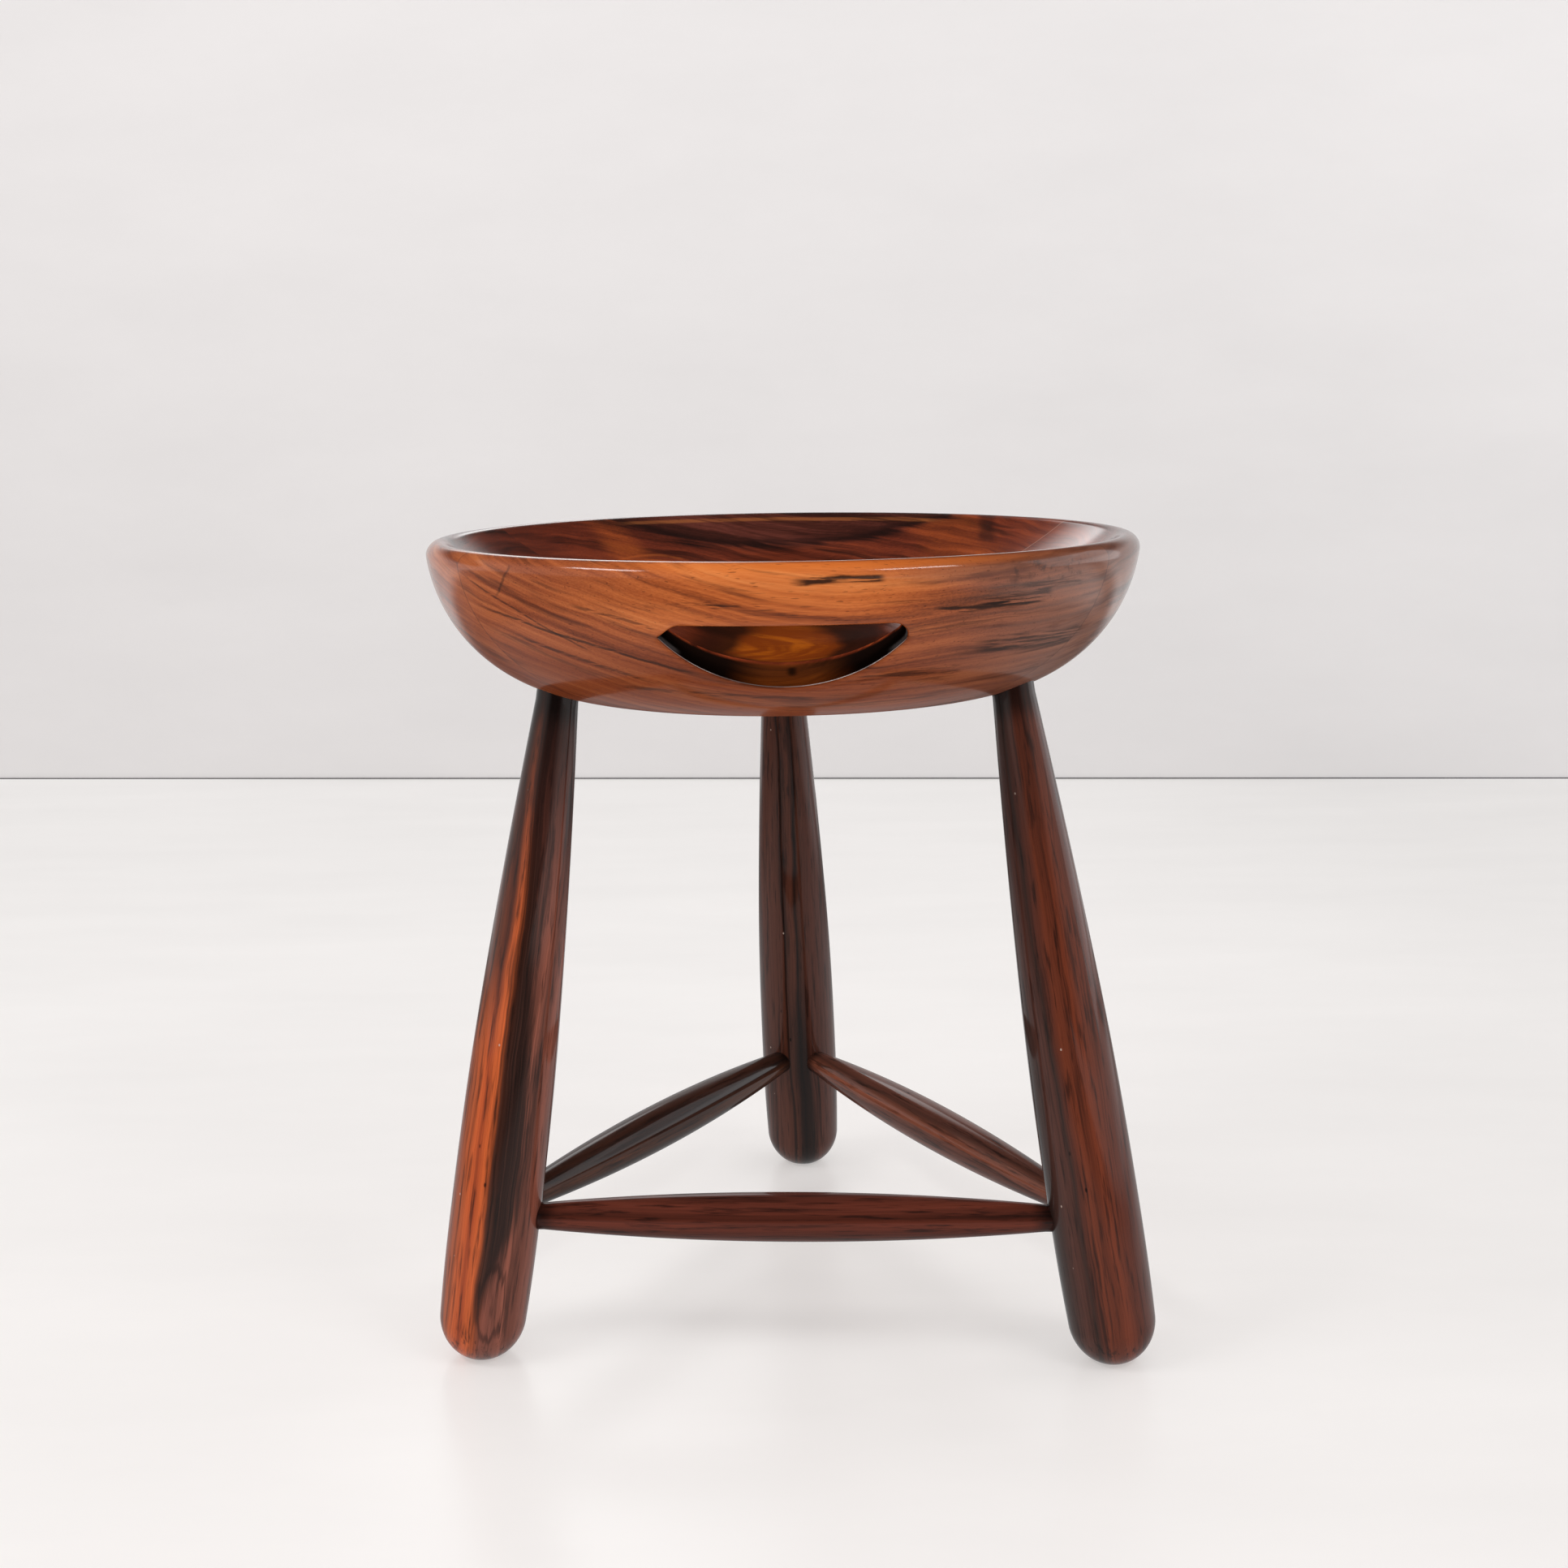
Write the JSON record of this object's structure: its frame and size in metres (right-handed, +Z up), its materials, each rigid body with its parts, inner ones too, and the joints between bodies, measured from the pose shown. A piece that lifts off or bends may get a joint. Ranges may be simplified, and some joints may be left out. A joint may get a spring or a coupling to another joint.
{
  "type": "three-legged stool",
  "caption": "Low wooden stool with a deep round dished seat, a hand-hold slot through its front wall, and splayed club-shaped turned legs tied by spindle stretchers.",
  "frame": {"origin": "on the floor, under the middle of the stool's bounding box", "axes": "+Z up, -Y towards the hand-hold side, the rear leg at +Y"},
  "size_m": [0.4174, 0.4422, 0.47],
  "materials": {
    "seat_wood": "gloss lacquered dark hardwood, orange-brown with black streaks",
    "leg_wood": "gloss lacquered dark hardwood, red-brown with black streaks along the leg",
    "stretcher_wood": "gloss lacquered dark hardwood, nearly black-brown"
  },
  "bodies": {
    "root": {"seat_board_front": "seat_wood", "seat_board_mid_front": "seat_wood", "seat_board_mid_rear": "seat_wood", "seat_board_rear": "seat_wood", "leg_left": "leg_wood", "leg_right": "leg_wood", "leg_rear": "leg_wood", "stretcher_front": "stretcher_wood", "stretcher_left": "stretcher_wood", "stretcher_right": "stretcher_wood"}
  },
  "joints": []
}
